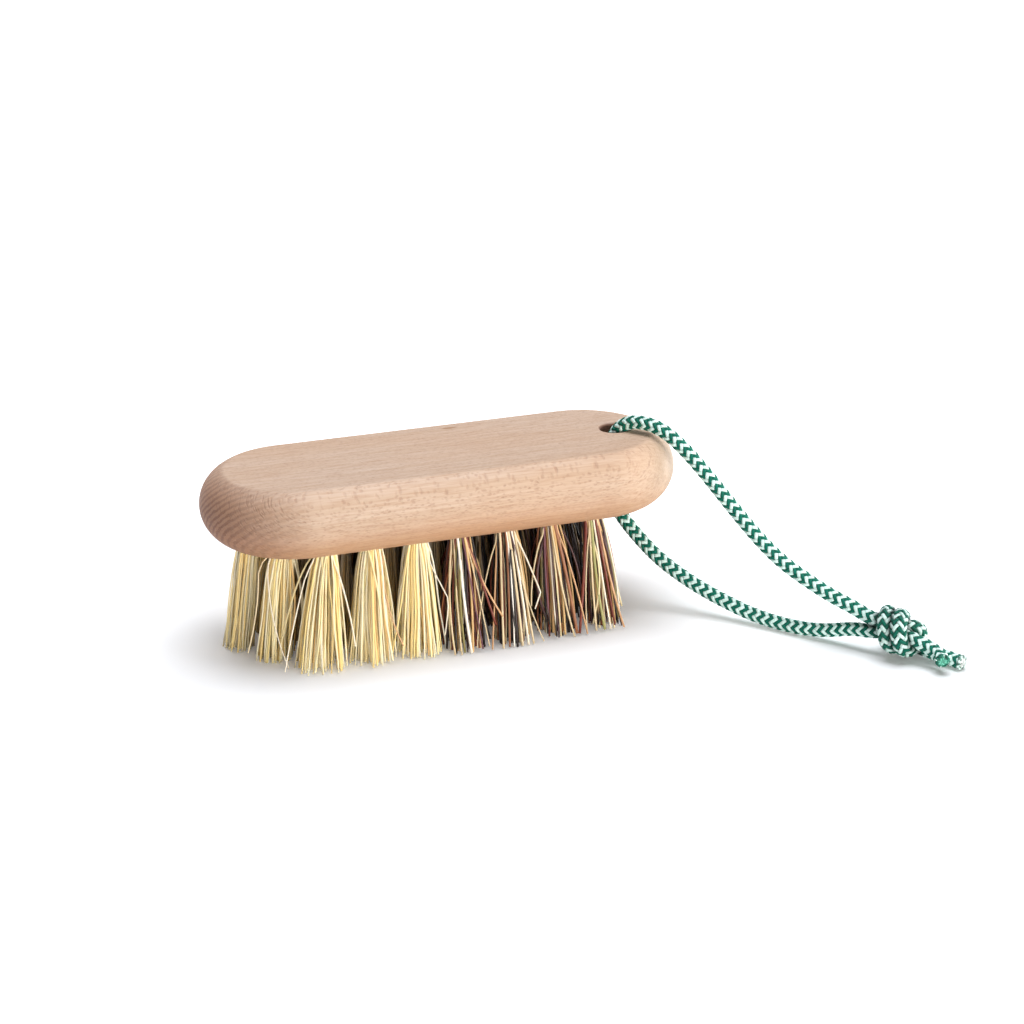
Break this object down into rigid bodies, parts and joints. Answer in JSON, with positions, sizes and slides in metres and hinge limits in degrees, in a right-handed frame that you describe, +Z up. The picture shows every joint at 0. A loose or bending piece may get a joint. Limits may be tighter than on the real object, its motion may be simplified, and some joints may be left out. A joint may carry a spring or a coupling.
{
  "type": "vegetable brush",
  "caption": "Oval wooden scrubbing brush with pale and dark tufts of plant fibre and a knotted cord loop to hang it by",
  "frame": {"origin": "on the ground under the middle of the block, where the bristle tips stand", "axes": "+X along the block towards the cord hole, +Y to the back of the block, +Z up from the bristle tips to the block's flat top"},
  "size_m": [0.1879, 0.1103, 0.0548],
  "materials": {
    "beech": "smooth sanded, unvarnished",
    "pale_fibre": "stiff dry plant fibre",
    "dark_fibre": "stiff dry plant fibre, mixed shades",
    "anchor_wire": "plain drawn wire",
    "braided_cord": "braided yarn, green and pale mint"
  },
  "bodies": {
    "brush": {"block": "beech", "tuft_anchors": "anchor_wire", "light_tuft_1": "pale_fibre", "light_tuft_2": "pale_fibre", "light_tuft_3": "pale_fibre", "light_tuft_4": "pale_fibre", "light_tuft_5": "pale_fibre", "light_tuft_6": "pale_fibre", "light_tuft_7": "pale_fibre", "light_tuft_8": "pale_fibre", "light_tuft_9": "pale_fibre", "light_tuft_10": "pale_fibre", "light_tuft_11": "pale_fibre", "light_tuft_12": "pale_fibre", "light_tuft_13": "pale_fibre", "light_tuft_14": "pale_fibre", "light_tuft_15": "pale_fibre", "light_tuft_16": "pale_fibre", "light_tuft_17": "pale_fibre", "light_tuft_18": "pale_fibre", "dark_tuft_1": "dark_fibre", "dark_tuft_2": "dark_fibre", "dark_tuft_3": "dark_fibre", "dark_tuft_4": "dark_fibre", "dark_tuft_5": "dark_fibre", "dark_tuft_6": "dark_fibre", "dark_tuft_7": "dark_fibre", "dark_tuft_8": "dark_fibre", "dark_tuft_9": "dark_fibre", "dark_tuft_10": "dark_fibre", "dark_tuft_11": "dark_fibre", "dark_tuft_12": "dark_fibre", "dark_tuft_13": "dark_fibre", "dark_tuft_14": "dark_fibre", "dark_tuft_15": "dark_fibre", "dark_tuft_16": "dark_fibre", "dark_tuft_17": "dark_fibre", "dark_tuft_18": "dark_fibre"},
    "hanging_loop": {"cord_upper": "braided_cord", "cord_lower": "braided_cord", "knot": "braided_cord", "tail_near": "braided_cord", "tail_far": "braided_cord"}
  },
  "joints": [
    {"name": "loop_swing", "type": "hinge", "parent": "brush", "child": "hanging_loop", "pos_m": [0.0515, 0, 0.0405], "axis": [0, 0, 1], "range_deg": [-10, 114]}
  ]
}
